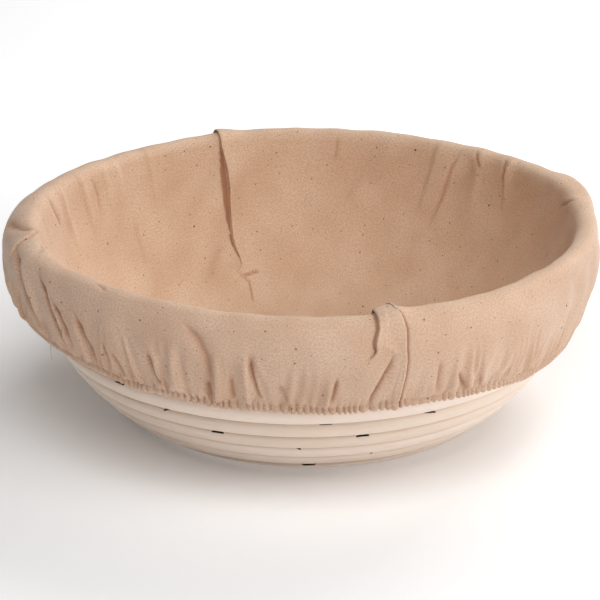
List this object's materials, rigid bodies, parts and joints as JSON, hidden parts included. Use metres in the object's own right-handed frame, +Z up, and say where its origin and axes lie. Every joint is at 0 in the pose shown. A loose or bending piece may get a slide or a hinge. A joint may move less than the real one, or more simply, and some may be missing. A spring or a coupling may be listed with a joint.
{
  "type": "round proofing basket",
  "caption": "Round bowl wound from rattan cane and pinned with wire staples, with a removable cloth liner whose elastic cuff turns over the rim; holds bread dough while it proves.",
  "frame": {"origin": "centre of the base, on the surface that the basket stands on", "axes": "+Z up along the bowl's axis, -Y towards the front of the picture"},
  "size_m": [0.255, 0.255, 0.0848],
  "materials": {
    "cane": "smooth unvarnished rattan",
    "staple": "dull darkened wire",
    "cloth": "plain unbleached cotton weave with dark flecks",
    "elastic": "matt",
    "thread": "spun cotton thread"
  },
  "bodies": {
    "basket": {"base_cane": "cane", "wall_cane_1": "cane", "wall_cane_2": "cane", "wall_cane_3": "cane", "wall_cane_4": "cane", "staple_01": "staple", "staple_02": "staple", "staple_03": "staple", "staple_04": "staple", "staple_05": "staple", "staple_06": "staple", "staple_07": "staple", "staple_08": "staple", "staple_09": "staple", "staple_10": "staple", "staple_11": "staple", "staple_12": "staple", "staple_13": "staple", "staple_14": "staple", "staple_15": "staple", "staple_16": "staple", "staple_17": "staple", "staple_18": "staple", "staple_19": "staple", "staple_20": "staple", "staple_21": "staple", "staple_22": "staple", "staple_23": "staple", "staple_24": "staple", "staple_25": "staple", "staple_26": "staple", "staple_27": "staple", "staple_28": "staple", "staple_29": "staple", "staple_30": "staple", "staple_31": "staple", "staple_32": "staple", "staple_33": "staple", "staple_34": "staple", "staple_35": "staple", "staple_36": "staple", "staple_37": "staple", "staple_38": "staple", "staple_39": "staple", "staple_40": "staple", "staple_41": "staple", "staple_42": "staple", "staple_43": "staple", "staple_44": "staple", "staple_45": "staple", "staple_46": "staple", "staple_47": "staple"},
    "liner": {"liner_base": "cloth", "liner_wall": "cloth", "liner_cuff": "cloth", "hem_elastic": "elastic", "hem_thread": "thread"}
  },
  "joints": [
    {"name": "liner_lift", "type": "slide", "parent": "basket", "child": "liner", "axis": [0, 0, 1], "range_m": [0, 0.1], "deforming": ["liner_cuff", "hem_elastic", "hem_thread"]}
  ]
}
